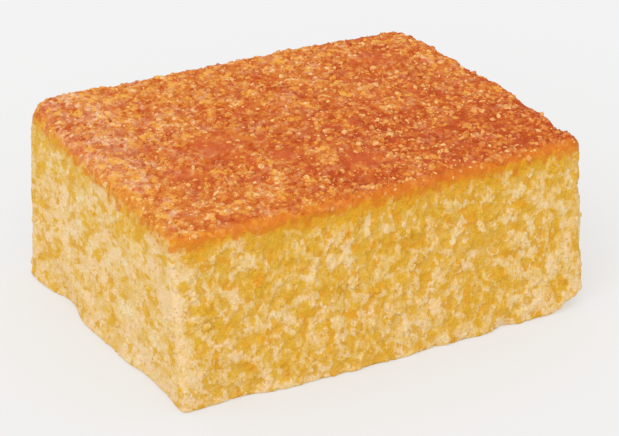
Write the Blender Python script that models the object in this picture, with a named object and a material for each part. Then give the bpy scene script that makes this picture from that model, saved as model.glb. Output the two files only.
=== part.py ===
"""Cornbread square: one piece cut from a tray, a low block of yellow crumb under a thin browned crust.

Units are metres, +Z is up and the long cut face looks towards -Y. The origin is the middle of the
base of the box round the piece. The block is eight corners joined by a straight blend; its cut walls
bow a little, its upright corners and its rim are worn round, and a few crumbs have broken away.
"""
import math

import bmesh
import bpy
import numpy as np
from mathutils import Vector, noise

MM = 0.001

# The eight corners of the block before they are worn round, in the order front left, front right,
# back right, back left. The piece is wider at the foot, and its crust is highest at the back left.
CORNER_SIGNS = np.array([(-1, -1), (1, -1), (1, 1), (-1, 1)], float)
FOOT_CORNERS = np.array([(-42.8, -34.3), (45.7, -34.9), (44.4, 34.4), (-45.2, 34.2)]) * MM
RIM_CORNERS = np.array([(-44.6, -33.9), (43.0, -33.9), (42.8, 33.6), (-43.2, 34.2)]) * MM
RIM_HEIGHTS = np.array([35.4, 35.9, 35.7, 37.6]) * MM
CORNER_RADII = np.array([1.2, 2.4, 2.8, 5.8]) * MM

# How far the crust's rim rolls over at each corner, and how far the foot's edge is worn.
RIM_ROLLS = np.array([1.3, 1.5, 1.4, 3.2]) * MM
FOOT_ROLL = 0.7 * MM

# How far the middle of each side stands out beyond the straight line between its corners.
FRONT_BOW = 1.2 * MM
BACK_BOW = 0.5 * MM
LEFT_BOW = 0.3 * MM
RIGHT_BOW = 1.5 * MM
CROWN = 0.6 * MM

# Slow unevenness of the cut walls and of the crust: how far it reaches and how long its waves are.
WALL_SWELL = 0.55 * MM
WALL_WAVE = 9.0 * MM
CRUST_SWELL = 0.50 * MM
CRUST_WAVE = 12.0 * MM
OCTAVES = 2

# The broken lower corner at the front right: how far the break runs along X, Y and Z.
BROKEN_CORNER = np.array([45.7, -35.2, 0.0]) * MM
BREAK_REACH = np.array([6.5, 5.5, 3.9]) * MM

# Where crumbs have come away, in mm: the place, how wide and how deep the hollow is, and the way in.
FROM_FRONT = (0.0, 1.0, 0.0)
FROM_LEFT = (1.0, 0.0, 0.0)
FROM_RIGHT = (-1.0, 0.0, 0.0)
SCOOPS = (
    ((25.5, -35.8, 0.0), 2.4, 1.3, FROM_FRONT),
    ((10.5, -35.6, 0.0), 2.2, 0.8, FROM_FRONT),
    ((-32.0, -35.0, 0.0), 7.0, 1.0, FROM_FRONT),
    ((-44.4, 16.0, 0.0), 5.5, 1.9, FROM_LEFT),
    ((-43.6, -21.0, 0.0), 6.0, 0.9, FROM_LEFT),
    ((-44.6, -21.0, 36.0), 8.0, 1.0, FROM_LEFT),
    ((44.6, -26.5, 36.0), 3.4, 1.4, FROM_RIGHT),
)

SIDE_STEP = 2.9 * MM
ARC_STEPS = 5
FOOT_RINGS = 2
WALL_RINGS = 12
ROLL_RINGS = 4
CRUST_RINGS = 12
SMALLEST_RING = 0.06

# How sharply the way that the skin faces turns from one side to the next at an upright corner.
SIDE_SHARPNESS = 7

CRUMB_COLOUR = (0.768, 0.456, 0.105, 1.0)
CRUST_COLOUR = (0.650, 0.195, 0.052, 1.0)

HALF_SIZE = np.abs(FOOT_CORNERS).mean(axis=0)


def clear_scene():
    """Removes every object that the file starts with."""
    for thing in list(bpy.data.objects):
        bpy.data.objects.remove(thing)


def outline():
    """The worn outline as (u, v) from -1 to 1: straight sides joined by a quarter turn at each corner."""
    points = []
    for index, (sign_u, sign_v) in enumerate(CORNER_SIGNS):
        radius = CORNER_RADII[index] / HALF_SIZE
        centre = np.array([sign_u, sign_v]) * (1 - radius)
        start = math.pi + index * math.pi / 2
        turns = start + np.arange(ARC_STEPS + 1) / ARC_STEPS * math.pi / 2
        arc = centre + radius * np.column_stack([np.cos(turns), np.sin(turns)])
        if points:
            points.append(side_between(points[-1][-1], arc[0]))
        points.append(arc)
    points.append(side_between(points[-1][-1], points[0][0]))
    return np.vstack(points)


def side_between(start, end):
    """The points inside a straight side, about SIDE_STEP apart, without its two ends."""
    length = np.linalg.norm((end - start) * HALF_SIZE)
    steps = max(2, round(length / SIDE_STEP))
    share = (np.arange(1, steps) / steps)[:, None]
    return start + (end - start) * share


def corner_weights(u, v):
    """How much each of the four corners counts at (u, v): the usual blend across a four-sided patch."""
    return np.stack([(1 + su * u) * (1 + sv * v) / 4 for su, sv in CORNER_SIGNS], axis=-1)


def rim_height(u, v):
    """Height of the crust over (u, v): the blend of the four rim heights, and the crown."""
    return corner_weights(u, v) @ RIM_HEIGHTS + CROWN * (1 - u**2) * (1 - v**2)


def block_point(u, v, z):
    """The point at (u, v) and height z: a blend of the eight corners, with the sides bowed out."""
    weights = corner_weights(u, v)
    share = (z / rim_height(u, v))[:, None]
    plan = (1 - share) * (weights @ FOOT_CORNERS) + share * (weights @ RIM_CORNERS)
    across = 1 - u**2
    along = 1 - v**2
    x = plan[:, 0] + along * (RIGHT_BOW * (1 + u) - LEFT_BOW * (1 - u)) / 2
    y = plan[:, 1] + across * (BACK_BOW * (1 + v) - FRONT_BOW * (1 - v)) / 2
    return np.column_stack([x, y, z])


def swell(points, wavelength):
    """Slow unevenness between about -1 and 1: two sizes of smooth noise, the larger of that wavelength."""
    return np.array([noise.fractal(Vector(point / wavelength), 1.0, 2.0, OCTAVES) for point in points])


def ring_stations():
    """The rings from the foot to the middle of the crust, each a part of the skin and a share of it."""
    stations = [("foot", step / FOOT_RINGS) for step in range(FOOT_RINGS)]
    stations += [("wall", step / WALL_RINGS) for step in range(WALL_RINGS)]
    stations += [("roll", step / ROLL_RINGS) for step in range(ROLL_RINGS)]
    stations += [("crust", step / CRUST_RINGS) for step in range(CRUST_RINGS)]
    return stations


def ring_points(line, part, share):
    """One closed ring of the skin.

    The foot and the rim are quarter turns, the wall is straight, and on the crust the rings shrink to
    the middle. Each point then moves by the slow unevenness, the way the skin faces there.
    """
    height = rim_height(*line.T)
    roll = corner_weights(*line.T) @ RIM_ROLLS
    quarter = share * math.pi / 2
    inset = np.zeros(len(line))
    scale = 1.0
    lean = 0.0
    if part == "foot":
        inset += FOOT_ROLL * (1 - math.sin(quarter))
        z = np.full(len(line), FOOT_ROLL * (1 - math.cos(quarter)))
    elif part == "wall":
        z = FOOT_ROLL + share * (height - roll - FOOT_ROLL)
    elif part == "roll":
        lean = quarter
        inset += roll * (1 - math.cos(quarter))
        z = height - roll * (1 - math.sin(quarter))
    else:
        lean = math.pi / 2
        inset += roll
        scale = 1 - share * (1 - SMALLEST_RING)
        z = None
    u, v = (line * (1 - inset[:, None] / HALF_SIZE) * scale).T
    points = block_point(u, v, rim_height(u, v) if z is None else z)
    outward = line * np.abs(line) ** SIDE_SHARPNESS
    outward /= np.linalg.norm(outward, axis=1)[:, None]
    facing = np.column_stack([outward * math.cos(lean), np.full(len(u), math.sin(lean))])
    wall_part = WALL_SWELL * math.cos(lean) * swell(points, WALL_WAVE)
    crust_part = CRUST_SWELL * math.sin(lean) * swell(points, CRUST_WAVE)
    return points + facing * (wall_part + crust_part)[:, None]


def break_corner(points):
    """Trims the broken corner: what lies outside a slanting plane moves level, straight back onto it."""
    slope = np.array([-1.0, 1.0, 1.0]) / BREAK_REACH
    short = 1 - (points - BROKEN_CORNER) @ slope
    level = slope * np.array([1.0, 1.0, 0.0])
    return points + np.clip(short, 0, None)[:, None] * level / (level @ level)


def scoop_out(points):
    """Presses a soft round hollow in at each scoop: deepest at its place, gone a few radii away."""
    for place, radius, depth, way_in in SCOOPS:
        away = np.linalg.norm(points - np.array(place) * MM, axis=1)
        push = depth * MM * np.exp(-((away / (radius * MM)) ** 2))
        points = points + push[:, None] * np.array(way_in)
    return points


def join_rings(rings):
    """A closed skin: neighbouring rings bridged, and the first and the last ring filled round a middle point."""
    shape = bmesh.new()
    loops = []
    for ring in rings:
        corners = [shape.verts.new(point) for point in ring]
        edges = [shape.edges.new((corners[i - 1], corners[i])) for i in range(len(corners))]
        loops.append((corners, edges))
    for (_, lower), (_, upper) in zip(loops, loops[1:]):
        bmesh.ops.bridge_loops(shape, edges=lower + upper)
    for corners, _ in (loops[0], loops[-1]):
        cap = shape.faces.new(corners)
        bmesh.ops.poke(shape, faces=[cap])
    bmesh.ops.recalc_face_normals(shape, faces=shape.faces)
    return shape


def centre_on_base(rings):
    """Moves the rings so that the box round them stands with the middle of its base on the origin."""
    everything = np.vstack(rings)
    low = everything.min(axis=0)
    high = everything.max(axis=0)
    middle = (low + high) / 2
    shift = np.array([middle[0], middle[1], low[2]])
    return [ring - shift for ring in rings]


def finish(name, colour, roughness):
    """A plain surface finish."""
    material = bpy.data.materials.new(name)
    material.use_nodes = True
    shader = material.node_tree.nodes["Principled BSDF"]
    shader.inputs["Base Color"].default_value = colour
    shader.inputs["Roughness"].default_value = roughness
    shader.inputs["Metallic"].default_value = 0.0
    return material


def cornbread_square():
    """The whole piece: its skin, with the crust's finish on what faces up near the rim."""
    line = outline()
    rings = [scoop_out(break_corner(ring_points(line, *station))) for station in ring_stations()]
    shape = join_rings(centre_on_base(rings))
    crust_line = RIM_HEIGHTS.min() - RIM_ROLLS.min()
    for face in shape.faces:
        face.smooth = True
        face.material_index = int(face.calc_center_median().z > crust_line)
    mesh = bpy.data.meshes.new("cornbread_square")
    shape.to_mesh(mesh)
    shape.free()
    mesh.materials.append(finish("crumb", CRUMB_COLOUR, 0.85))
    mesh.materials.append(finish("crust", CRUST_COLOUR, 0.7))
    piece = bpy.data.objects.new("cornbread_square", mesh)
    bpy.context.scene.collection.objects.link(piece)
    return piece


clear_scene()
cornbread_square()
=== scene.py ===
"""Cornbread square: the looks of one cut piece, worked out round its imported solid.

The piece is a low block of torn yellow crumb under a thin browned crust. A block of eight corners
gives the form. Fields of smooth noise and of cells give the torn crumb and the pebbled crust, as whole
arrays, and many small clumps of crumb and grains of meal are set on them. Lengths are in metres.
"""

import logging
import math
from dataclasses import dataclass, field
from enum import Enum
from itertools import product

import bpy
import numpy as np
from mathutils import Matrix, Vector


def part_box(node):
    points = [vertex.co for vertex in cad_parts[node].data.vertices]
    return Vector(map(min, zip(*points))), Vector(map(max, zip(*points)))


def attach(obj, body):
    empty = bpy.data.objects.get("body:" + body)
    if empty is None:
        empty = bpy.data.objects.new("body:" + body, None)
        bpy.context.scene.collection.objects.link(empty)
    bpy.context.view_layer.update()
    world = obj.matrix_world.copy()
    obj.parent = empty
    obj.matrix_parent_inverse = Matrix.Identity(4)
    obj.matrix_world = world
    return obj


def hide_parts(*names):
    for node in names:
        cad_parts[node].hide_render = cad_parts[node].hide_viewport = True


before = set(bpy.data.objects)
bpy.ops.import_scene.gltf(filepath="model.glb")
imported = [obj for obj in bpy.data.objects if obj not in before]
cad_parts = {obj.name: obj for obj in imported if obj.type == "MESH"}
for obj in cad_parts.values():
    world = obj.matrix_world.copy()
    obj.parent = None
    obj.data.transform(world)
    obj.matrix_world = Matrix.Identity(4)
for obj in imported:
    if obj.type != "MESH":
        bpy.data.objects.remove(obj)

MM = 0.001
NODE = "cornbread_square"
BODY = "root"

# Height of the seam where the crust's skin meets the crumb's.
SEAM = 32.9 * MM

# The side of the small squares of the flat map where what closes a skin off goes.
SPARE = 0.03

# The least length that anything is divided by, and how far a sum of lengths may stray from nothing.
LEAST_LENGTH = 1e-12
STRAY = 1e-9

log = logging.getLogger("cornbread")

# How the torn crumb's pattern lies. Each is how far the pattern goes for a step along x, along y on the
# left side, along y on the right side, and along z: the crumbs lean, and lie drawn out on the left.
WAY_ACROSS = np.array([0.25, -0.95, 0.15])
WAY_BACK_AT_LEFT = np.array([0.18, 0.51, 0.27])
WAY_BACK_AT_RIGHT = np.array([-0.06, 0.50, 0.70])
WAY_UP = np.array([0.77, 0.09, 0.0])

# The level way in which the crust's grains are drawn out, and by what share its pattern runs slower.
DEPTH_WAY = (0.49, 0.87, 0.0)
CRUST_SQUEEZE = 0.18

# How the rings that close a loop off crowd towards its middle: each one's share, to this power.
RING_POWER = 1.2

WHITE = (1.0, 1.0, 1.0)

Array = np.ndarray
Arrays = list[np.ndarray]
Colour = tuple[float, float, float]
Sizes = tuple[float, float, float]
Span = tuple[float, float]
Stops = tuple[tuple[float, Colour], ...]


# ---------------------------------------------------------------------------------------------------
# Small helpers on arrays and colours


def smoothstep(low: float, high: float, value: Array) -> Array:
    """An S-shaped rise from 0 at low to 1 at high.

    Args:
        low: where the rise starts.
        high: where it ends.
        value: the numbers to map.

    Returns:
        3t^2 - 2t^3, with t the value's share of the way from low to high, held from 0 to 1.
    """
    share = np.clip((value - low) / (high - low), 0.0, 1.0)
    return share * share * (3.0 - 2.0 * share)


def unit(vectors: Array) -> Array:
    """Vectors of length one: each divided by its own length."""
    return vectors / np.maximum(np.linalg.norm(vectors, axis=-1, keepdims=True), LEAST_LENGTH)


def shade(red: float, green: float, blue: float) -> Colour:
    """A colour given as it looks, as the light that it sends back.

    Args:
        red, green, blue: from 0 to 255.

    Returns:
        The three shares with the usual screen curve undone: straight below 0.04, a power above it.
    """
    looks = np.array([red, green, blue]) / 255.0
    light = np.where(looks <= 0.04045, looks / 12.92, ((looks + 0.055) / 1.055) ** 2.4)
    return tuple(float(part) for part in light)


def even_scale(*tones: Colour) -> Stops:
    """A scale of tones in even steps, from the darkest at 0 to the palest at 1."""
    return tuple((index / (len(tones) - 1), shade(*tone)) for index, tone in enumerate(tones))


def placed(name: str, data: bpy.types.ID) -> bpy.types.Object:
    """Puts data into the scene.

    Args:
        name: the object's name.
        data: a mesh, a camera or a light.

    Returns:
        The object that holds it, at the origin.
    """
    made = bpy.data.objects.new(name, data)
    bpy.context.scene.collection.objects.link(made)
    return made


# ---------------------------------------------------------------------------------------------------
# Fields of noise over space


class Noise:
    """Fields that look random, worked out for whole arrays of points at once."""

    FACTORS = np.array([374761393, 668265263, 1103515245], np.int64)
    SEED_FACTOR = 7919
    SALT_FACTOR = 104729
    FIRST_MIX = np.int64(1274126177)
    SECOND_MIX = np.int64(69069)
    MASK = np.int64(0x7FFFFFFF)
    WAYS = unit(np.random.default_rng(7).normal(size=(512, 3)))
    CORNERS = np.array(list(product((0, 1), repeat=3)))
    NEIGHBOURS = np.array(list(product((-1, 0, 1), repeat=3)))
    HEADROOM = 1.55
    LAYER_SHIFT = 17.3
    WAY_SHIFTS = (0.11, 0.23, 0.37)
    PLACE_SALTS = (1, 2, 3)
    OWN_SALT = 4

    def __init__(self, seed: int) -> None:
        """Keeps the seed, a number that gives this field its own pattern."""
        self.seed = seed

    def scramble(self, cell: Array, salt: int = 0) -> Array:
        """A whole number for each lattice cell that looks random.

        Args:
            cell: (N, 3) whole coordinates.
            salt: another number gives another, unrelated answer.

        Returns:
            (N,) numbers: each coordinate times its own large odd number, summed, then mixed twice by
            shifting the bits and multiplying.
        """
        mixed = (cell.astype(np.int64) * self.FACTORS).sum(-1)
        mixed = mixed + self.seed * self.SEED_FACTOR + salt * self.SALT_FACTOR
        mixed = ((mixed ^ (mixed >> 13)) * self.FIRST_MIX) & self.MASK
        mixed = ((mixed ^ (mixed >> 15)) * self.SECOND_MIX) & self.MASK
        return mixed ^ (mixed >> 16)

    def smooth(self, points: Array, size: float) -> Array:
        """Smooth noise between about -1 and 1, with lumps about as large as size.

        Args:
            points: (N, 3) places.
            size: the lattice step.

        Returns:
            (N,) values. Each lattice corner has a random way; the point's offset from each of its eight
            corners is multiplied by that corner's way, and the eight are blended by a quintic fade.
        """
        place = points / size
        cell = np.floor(place)
        part = place - cell
        fade = part**3 * (part * (part * 6.0 - 15.0) + 10.0)
        total = np.zeros(len(points))
        for corner in self.CORNERS:
            way = self.WAYS[self.scramble(cell + corner) % len(self.WAYS)]
            share = np.where(corner, fade, 1.0 - fade).prod(-1)
            total += ((part - corner) * way).sum(-1) * share
        return total * self.HEADROOM

    def layered(self, points: Array, size: float, layers: int = 3, gain: float = 0.5) -> Array:
        """Smooth noise in layers.

        Args:
            points: (N, 3) places.
            size: the first layer's lattice step.
            layers: how many.
            gain: how strong each is, as a share of the last.

        Returns:
            (N,) values: the layers' sum. Each is half as large as the last, and shifted.
        """
        total = np.zeros(len(points))
        strength = 1.0
        for layer in range(layers):
            total += strength * self.smooth(points + layer * self.LAYER_SHIFT * size, size / 2**layer)
            strength *= gain
        return total

    def bent(self, points: Array, size: float, reach: float) -> Array:
        """The points moved by up to about reach, each way by its own smooth noise."""
        moved = [self.smooth(points + shift, size) for shift in self.WAY_SHIFTS]
        return points + reach * np.stack(moved, axis=-1)

    def cells(self, points: Array, size: float) -> tuple[Array, Array]:
        """Cells round scattered centres, as bubbles lie in a crumb.

        Args:
            points: (N, 3) places.
            size: the mean distance between centres.

        Returns:
            The distance to the nearest centre, in sizes, and that centre's own number from 0 to 1. One
            centre lies anywhere in each lattice cube, and the 27 cubes round a point are searched.
        """
        place = points / size
        base = np.floor(place)
        nearest = np.full(len(points), np.inf)
        own = np.zeros(len(points))
        for offset in self.NEIGHBOURS:
            cell = base + offset
            parts = [self.scramble(cell, salt) for salt in self.PLACE_SALTS]
            inside = np.stack(parts, axis=-1) / float(self.MASK)
            away = np.linalg.norm(place - cell - inside, axis=-1)
            closer = away < nearest
            nearest = np.where(closer, away, nearest)
            own = np.where(closer, self.scramble(cell, self.OWN_SALT) / float(self.MASK), own)
        return nearest, own


@dataclass(frozen=True)
class Grain:
    """One layered field of noise: its seed, the size of its lumps in mm, its layers and their gain."""

    seed: int
    size: float
    layers: int = 3
    gain: float = 0.5

    def at(self, points: Array) -> Array:
        """The field at the points, from about -1 to 1."""
        return Noise(self.seed).layered(points, self.size * MM, self.layers, self.gain)


@dataclass(frozen=True)
class Bend:
    """A field that bends a pattern: its seed, and the size of its lumps and its reach, both in mm."""

    seed: int
    size: float
    reach: float

    def at(self, points: Array) -> Array:
        """The points, each moved."""
        return Noise(self.seed).bent(points, self.size * MM, self.reach * MM)


# ---------------------------------------------------------------------------------------------------
# The form of the block


@dataclass(frozen=True)
class Corner:
    """One upright corner of the block, in mm: how far its foot and its rim lie in from the box round
    the piece, how far its crust lies below the top, its radius, and how far the rim rolls over."""

    side: tuple[int, int]
    foot_inset: tuple[float, float]
    rim_inset: tuple[float, float]
    drop: float
    radius: float
    roll: float


@dataclass(frozen=True)
class Scoop:
    """A soft hollow where crumbs came away: its place in half boxes across and along and in boxes up,
    its width and depth in mm, and the way in."""

    place: tuple[float, float, float]
    radius: float
    depth: float
    way_in: tuple[float, float, float]


@dataclass
class Block:
    """The block that the piece was cut as, before its surface is torn.

    A place on it is (u, v) from -1 to 1 across the box, and a height.
    """

    low: Array
    high: Array
    corners: tuple[Corner, ...] = (
        Corner((-1, -1), (2.38, 1.67), (0.58, 2.07), 2.2, 1.2, 1.3),
        Corner((1, -1), (1.3, 1.07), (3.7, 2.07), 1.6, 2.4, 1.5),
        Corner((1, 1), (2.33, 0.62), (4.1, 1.6), 2.1, 2.8, 1.4),
        Corner((-1, 1), (0.0, 0.82), (2.0, 1.0), 0.5, 5.8, 3.2),
    )
    scoops: tuple[Scoop, ...] = (
        Scoop((0.54, -1.0, 0.0), 2.4, 1.3, (0, 1, 0)),
        Scoop((0.21, -1.0, 0.0), 2.2, 0.8, (0, 1, 0)),
        Scoop((-0.71, -0.98, 0.0), 7.0, 1.0, (0, 1, 0)),
        Scoop((-0.98, 0.46, 0.0), 5.5, 1.9, (1, 0, 0)),
        Scoop((-0.97, -0.58, 0.0), 6.0, 0.9, (1, 0, 0)),
        Scoop((-0.98, -0.58, 0.955), 8.0, 1.0, (1, 0, 0)),
        Scoop((0.95, -0.73, 0.955), 3.4, 1.4, (-1, 0, 0)),
    )
    front_bow: float = 1.2 * MM
    back_bow: float = 0.5 * MM
    left_bow: float = 0.3 * MM
    right_bow: float = 1.5 * MM
    crown: float = 0.6 * MM
    break_inset: Span = (1.0 * MM, 0.8 * MM)
    break_reach: Sizes = (9.5 * MM, 6.5 * MM, 5.2 * MM)
    foot_roll: float = 0.7 * MM
    swell: float = 0.3 * MM
    swelling: Grain = Grain(3, 9.0, 2)

    def __post_init__(self) -> None:
        """Works out the half size and the eight corner places from the box and the corners' insets."""
        self.half = (self.high - self.low) / 2
        sides = np.array([corner.side for corner in self.corners], float)
        self.foot = sides * (self.half[:2] - np.array([c.foot_inset for c in self.corners]) * MM)
        self.rim = sides * (self.half[:2] - np.array([c.rim_inset for c in self.corners]) * MM)
        self.heights = self.high[2] - self.low[2] - np.array([c.drop for c in self.corners]) * MM
        self.rolls = np.array([c.roll for c in self.corners]) * MM

    def weights(self, u: Array, v: Array) -> Array:
        """How much each corner counts at (u, v): the usual blend across a four-sided patch."""
        return np.stack([(1 + c.side[0] * u) * (1 + c.side[1] * v) / 4 for c in self.corners], axis=-1)

    def worn(self, u: Array, v: Array) -> tuple[Array, Array]:
        """Rounds the upright corners of the square outline.

        Args:
            u: (N,) shares across, from -1 to 1.
            v: (N,) shares along.

        Returns:
            The same places, with each corner's own small square squeezed into a quarter disc: one
            coordinate times the root of one minus half the other's square.
        """
        for corner in self.corners:
            size_u, size_v = corner.radius * MM / self.half[:2]
            across = (corner.side[0] * u - 1 + size_u) / size_u
            along = (corner.side[1] * v - 1 + size_v) / size_v
            here = (across > 0) & (along > 0)
            across, along = np.maximum(across, 0), np.maximum(along, 0)
            squeezed_u = across * np.sqrt(1 - along**2 / 2)
            squeezed_v = along * np.sqrt(1 - across**2 / 2)
            u = np.where(here, corner.side[0] * (1 - size_u + size_u * squeezed_u), u)
            v = np.where(here, corner.side[1] * (1 - size_v + size_v * squeezed_v), v)
        return u, v

    def rim_height(self, u: Array, v: Array) -> Array:
        """Height of the crust over (u, v): the blend of the four rim heights, and the crown."""
        return self.weights(u, v) @ self.heights + self.crown * (1 - u**2) * (1 - v**2)

    def roll(self, u: Array, v: Array) -> Array:
        """How far the rim rolls over at (u, v): the blend of the corners' rolls."""
        return self.weights(u, v) @ self.rolls

    def place(self, u: Array, v: Array, z: Array) -> Array:
        """The points at (u, v) and height z.

        Args:
            u: (N,) shares across.
            v: (N,) shares along.
            z: (N,) heights above the foot.

        Returns:
            (N, 3) points: the foot's four-cornered blend turns into the rim's on the way up, and the
            middle of each side bows out by a parabola.
        """
        weights = self.weights(u, v)
        share = (z / self.rim_height(u, v))[:, None]
        plan = (1 - share) * (weights @ self.foot) + share * (weights @ self.rim)
        x = plan[:, 0] + (1 - v**2) * (self.right_bow * (1 + u) - self.left_bow * (1 - u)) / 2
        y = plan[:, 1] + (1 - u**2) * (self.back_bow * (1 + v) - self.front_bow * (1 - v)) / 2
        middle = (self.low + self.high) / 2
        return np.column_stack([x + middle[0], y + middle[1], z + self.low[2]])

    def inset(self, u: Array, v: Array, depth: Array) -> tuple[Array, Array]:
        """(u, v) drawn in towards the middle by a depth in metres."""
        return u * (1 - depth / self.half[0]), v * (1 - depth / self.half[1])

    def broken(self, points: Array) -> Array:
        """Trims the broken lower corner at the front right and presses in the scoops.

        Args:
            points: (N, 3) places on the block.

        Returns:
            (N, 3) places: what lies outside a slanting plane moves level back onto it, then each scoop
            pushes by a bell curve of the distance from it.
        """
        across, along = self.break_inset
        tip = np.array([self.high[0] - across, self.low[1] + along, self.low[2]])
        slope = np.array([-1.0, 1.0, 1.0]) / np.array(self.break_reach)
        level = slope * np.array([1.0, 1.0, 0.0])
        short = np.clip(1 - (points - tip) @ slope, 0, None)
        points = points + short[:, None] * level / (level @ level)
        span = np.array([self.half[0], self.half[1], self.high[2] - self.low[2]])
        base = np.array([*((self.low + self.high)[:2] / 2), self.low[2]])
        for scoop in self.scoops:
            away = np.linalg.norm(points - base - np.array(scoop.place) * span, axis=-1)
            push = scoop.depth * MM * np.exp(-((away / (scoop.radius * MM)) ** 2))
            points = points + push[:, None] * np.array(scoop.way_in, float)
        return points


# ---------------------------------------------------------------------------------------------------
# Surfaces as arrays


@dataclass
class Surface:
    """A surface as arrays: points, triangles of point numbers, each triangle corner's place on the flat
    map, named values at the points, and whether each point lies on a crease."""

    points: Array
    faces: Array
    chart: Array
    values: dict[str, Array] = field(default_factory=dict)
    crease: Array | None = None

    def across(self) -> Array:
        """The cross product of two sides of each triangle: its way out, as long as twice its area."""
        a, b, c = (self.points[self.faces[:, k]] for k in range(3))
        return np.cross(b - a, c - a)

    def normals(self) -> Array:
        """The way out at each point.

        Returns:
            (N, 3) its triangles' cross products summed, and made length one.
        """
        across = self.across()
        total = np.zeros_like(self.points)
        for axis, k in product(range(3), range(3)):
            total[:, axis] += np.bincount(self.faces[:, k], across[:, axis], len(self.points))
        return unit(total)

    def mean(self, name: str) -> Array:
        """A named value in each triangle: the mean of its three corners' values."""
        return self.values[name][self.faces].mean(axis=1)

    def close(self, loop: Array, moves: Arrays, rings: Arrays, upward: bool, corner: Span) -> None:
        """Closes the surface off behind an open edge.

        Args:
            loop: point numbers along the edge, anticlockwise as seen from above.
            moves: for each hidden row behind the edge, how far each point lies from its edge point.
            rings: the points of each ring that closes the last row off, as cap_rings gives them.
            upward: whether what closes it faces up.
            corner: the corner of the small square of the flat map where this hidden part goes.
        """
        first = len(self.points)
        rows = [loop] + [first + k * len(loop) + np.arange(len(loop)) for k in range(len(moves))]
        bands = [band(*(pair if upward else pair[::-1])) for pair in zip(rows, rows[1:])]
        cap = cap_faces(rows[-1], first + len(moves) * len(loop), len(rings) - 1, upward)
        hidden = [self.points[loop] + move for move in moves] + rings
        added = np.vstack([*bands, cap])
        self.points = np.vstack([self.points, *hidden])
        span = np.ptp(self.points[:, :2], axis=0)
        plan = (self.points[added][..., :2] - self.points[:, :2].min(axis=0)) / span
        self.faces = np.vstack([self.faces, added])
        self.chart = np.vstack([self.chart, np.array(corner) + plan * SPARE])
        inner = sum(len(ring) for ring in rings)
        for key, value in self.values.items():
            behind = np.tile(value[loop], len(moves))
            self.values[key] = np.concatenate([value, behind, np.zeros(inner)])
        old = np.zeros(first, bool) if self.crease is None else self.crease
        old[loop] = True
        self.crease = np.concatenate([old, np.zeros(len(self.points) - first, bool)])

    def piece(self, name: str, material: bpy.types.Material) -> bpy.types.Object:
        """Puts the arrays into a smooth-shaded mesh object.

        Args:
            name: the piece's name.
            material: its finish.

        Returns:
            The object, at the origin, with its place in its mesh. Edges along a crease stay sharp.
        """
        mesh = bpy.data.meshes.new(name)
        mesh.vertices.add(len(self.points))
        mesh.vertices.foreach_set("co", self.points.astype(np.float32).ravel())
        mesh.loops.add(self.faces.size)
        mesh.loops.foreach_set("vertex_index", self.faces.astype(np.int32).ravel())
        mesh.polygons.add(len(self.faces))
        mesh.polygons.foreach_set("loop_start", np.arange(0, self.faces.size, 3, dtype=np.int32))
        layer = mesh.uv_layers.new(name="OFBake")
        layer.uv.foreach_set("vector", self.chart.astype(np.float32).ravel())
        for key, value in self.values.items():
            attribute = mesh.attributes.new(key, "FLOAT", "POINT")
            attribute.data.foreach_set("value", value.astype(np.float32))
        mesh.update(calc_edges=True)
        mesh.shade_smooth()
        if self.crease is not None:
            ends = np.empty(len(mesh.edges) * 2, np.int32)
            mesh.edges.foreach_get("vertices", ends)
            sharp = self.crease[ends.reshape(-1, 2)].all(axis=1)
            mesh.attributes.new("sharp_edge", "BOOLEAN", "EDGE").data.foreach_set("value", sharp)
        mesh.materials.append(material)
        return placed(name, mesh)


def square_loop(across: int, along: int) -> tuple[Array, Array]:
    """The edge of the square from (-1, -1) round by the front, right, back and left.

    Args:
        across: steps on the front and the back.
        along: steps on the right and the left.

    Returns:
        u and v of 2 (across + along) points, each side in equal steps.
    """
    step_u = -1 + 2 * np.arange(across) / across
    step_v = -1 + 2 * np.arange(along) / along
    u = np.concatenate([step_u, np.ones(along), -step_u, -np.ones(along)])
    v = np.concatenate([-np.ones(across), step_v, np.ones(across), -step_v])
    return u, v


def band(lower: Array, upper: Array) -> Array:
    """Triangles between two closed rows of points that go round anticlockwise, seen from above.

    Args:
        lower: (N,) point numbers of the lower or outer row.
        upper: (N,) point numbers of the other.

    Returns:
        (2N, 3) point numbers: each step's four-cornered face, cut in two.
    """
    lower_next, upper_next = np.roll(lower, -1), np.roll(upper, -1)
    corners = [lower, lower_next, upper_next, lower, upper_next, upper]
    return np.stack(corners, axis=-1).reshape(-1, 3)


def cap_rings(u: Array, v: Array, halvings: int) -> tuple[Arrays, Arrays]:
    """Rings that close a loop off, each with half the points of the one outside it.

    Args:
        u: (N,) the loop.
        v: (N,) the loop.
        halvings: how many times the count halves.

    Returns:
        u and v of each ring inside the loop. The rings shrink evenly, and the last entry is the middle.
    """
    rings_u, rings_v = [], []
    for ring in range(1, halvings + 1):
        scale = (1 - ring / (halvings + 1)) ** RING_POWER
        rings_u.append(u[:: 2**ring] * scale)
        rings_v.append(v[:: 2**ring] * scale)
    return rings_u + [np.zeros(1)], rings_v + [np.zeros(1)]


def cap_faces(outer: Array, first: int, halvings: int, upward: bool) -> Array:
    """Triangles of the rings that cap_rings gives.

    Args:
        outer: (N,) point numbers of the loop that is closed off.
        first: the number of the first ring's first point.
        halvings: as in cap_rings.
        upward: whether the cap's way out is up.

    Returns:
        (M, 3) point numbers: three triangles for each pair of steps, and a fan round the middle.
    """
    faces = []
    start = first
    for _ in range(halvings):
        inner = start + np.arange(len(outer) // 2)
        one, two, three = outer[0::2], outer[1::2], np.roll(outer[0::2], -1)
        after = np.roll(inner, -1)
        faces += [
            np.stack([one, two, inner], axis=-1),
            np.stack([two, after, inner], axis=-1),
            np.stack([two, three, after], axis=-1),
        ]
        start += len(inner)
        outer = inner
    middle = np.full(len(outer), start)
    faces.append(np.stack([outer, np.roll(outer, -1), middle], axis=-1))
    joined = np.vstack(faces)
    return joined if upward else joined[:, ::-1]


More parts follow.
